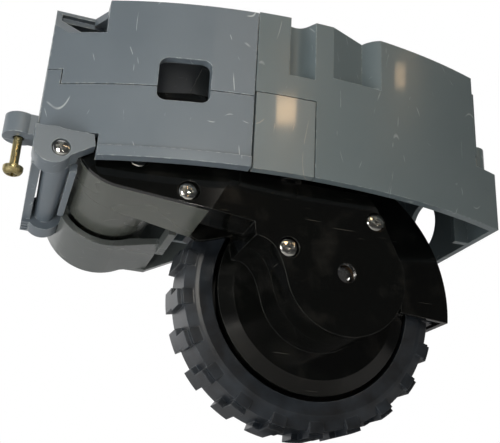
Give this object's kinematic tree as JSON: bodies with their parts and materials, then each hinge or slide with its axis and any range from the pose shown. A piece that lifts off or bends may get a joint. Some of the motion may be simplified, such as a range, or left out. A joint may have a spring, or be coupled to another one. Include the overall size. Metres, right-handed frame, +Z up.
{
  "type": "robot vacuum drive wheel module",
  "caption": "Sprung side wheel module of a robot vacuum: ribbed rubber tyre, gearbox arm with motor on a pivot, and a moulded well with captive screws.",
  "frame": {"origin": "top seat of the front fixing boss, on the axis of its captive screw", "axes": "+X along the robot's travel from this boss towards the wheel, +Y to the middle of the robot, +Z up"},
  "size_m": [0.1287, 0.0788, 0.1092],
  "materials": {
    "bay_plastic": "moulded blue-grey ABS, satin, lightly scratched",
    "well_plastic": "moulded blue-grey ABS, satin, slightly darker",
    "gloss_black": "black ABS, polished mould",
    "tyre_rubber": "soft black rubber",
    "rim_plastic": "black ABS",
    "gear_plastic": "natural acetal",
    "motor_steel": "zinc-plated steel can",
    "steel": "steel",
    "screw_steel": "nickel-plated steel",
    "captive_brass": "yellow-passivated steel, brass look",
    "spring_steel": "spring wire",
    "bronze": "sintered bronze",
    "magnet": "ferrite",
    "switch_plastic": "black PBT"
  },
  "bodies": {
    "housing": {"wheel_well": "well_plastic", "side_hatch": "well_plastic", "motor_bay_frame": "bay_plastic", "motor_bay_cover": "bay_plastic", "motor_cradle": "bay_plastic", "frame_screws": "screw_steel", "drop_switch_case": "switch_plastic", "contact_block": "switch_plastic", "contacts": "captive_brass", "suspension_spring": "spring_steel"},
    "arm": {"gearbox_cover": "gloss_black", "gearbox_base": "gloss_black", "motor_housing": "bay_plastic", "motor_housing_cap": "bay_plastic", "motor_can": "motor_steel", "motor_magnets": "magnet", "motor_end_cap": "switch_plastic", "idler_pins": "steel", "shaft_bushes": "bronze", "cover_screws": "screw_steel"},
    "wheel": {"tyre": "tyre_rubber", "wheel_rim": "rim_plastic", "output_shaft": "steel", "output_gear": "gear_plastic", "axle_washer": "steel", "axle_screw": "screw_steel"},
    "rotor": {"motor_shaft": "steel", "motor_armature": "motor_steel", "motor_pinion": "captive_brass"},
    "first_idler": {"first_idler_gear": "gear_plastic"},
    "second_idler": {"second_idler_gear": "gear_plastic"},
    "third_idler": {"third_idler_gear": "gear_plastic"},
    "front_screw": {"captive_screw_front": "captive_brass"},
    "right_screw": {"captive_screw_right": "captive_brass"},
    "rear_screw": {"captive_screw_rear": "captive_brass"},
    "switch_button": {"drop_switch_button": "switch_plastic"}
  },
  "joints": [
    {"name": "arm_pivot", "type": "hinge", "parent": "housing", "child": "arm", "pos_m": [0.0265, 0.0089, -0.0023], "axis": [0, -1, 0], "range_deg": [0, 32], "stiffness_Nm_per_rad": 0.16, "springref_deg": -68.75, "deforming": ["suspension_spring"]},
    {"name": "wheel_spin", "type": "hinge", "parent": "arm", "child": "wheel", "pos_m": [0.0793, 0.0089, -0.0302], "axis": [0, -1, 0], "continuous": true},
    {"name": "third_idler_spin", "type": "hinge", "parent": "arm", "child": "third_idler", "pos_m": [0.06952, 0.0089, -0.0145], "axis": [0, -1, 0], "continuous": true},
    {"name": "second_idler_spin", "type": "hinge", "parent": "arm", "child": "second_idler", "pos_m": [0.05538, 0.0089, -0.00618], "axis": [0, -1, 0], "continuous": true},
    {"name": "first_idler_spin", "type": "hinge", "parent": "arm", "child": "first_idler", "pos_m": [0.04048, 0.0089, -0.00157], "axis": [0, -1, 0], "continuous": true},
    {"name": "rotor_spin", "type": "hinge", "parent": "arm", "child": "rotor", "pos_m": [0.0265, 0.0089, -0.0023], "axis": [0, -1, 0], "continuous": true},
    {"name": "front_screw_slide", "type": "slide", "parent": "housing", "child": "front_screw", "axis": [0, 0, 1], "range_m": [0, 0.0076]},
    {"name": "right_screw_slide", "type": "slide", "parent": "housing", "child": "right_screw", "axis": [0, 0, 1], "range_m": [-0.0033, 0.0002]},
    {"name": "rear_screw_slide", "type": "slide", "parent": "housing", "child": "rear_screw", "axis": [0, 0, 1], "range_m": [0, 0.0076]},
    {"name": "switch_press", "type": "slide", "parent": "housing", "child": "switch_button", "axis": [0, 0, 1], "range_m": [0, 0.0005], "stiffness_N_per_m": 300, "springref_m": -0.0005}
  ],
  "couplings": [
    {"joint": "third_idler_spin", "follows": "wheel_spin", "ratio": -1.8462},
    {"joint": "second_idler_spin", "follows": "wheel_spin", "ratio": 2.6063},
    {"joint": "first_idler_spin", "follows": "wheel_spin", "ratio": -8.6878},
    {"joint": "rotor_spin", "follows": "wheel_spin", "ratio": 31.855}
  ]
}
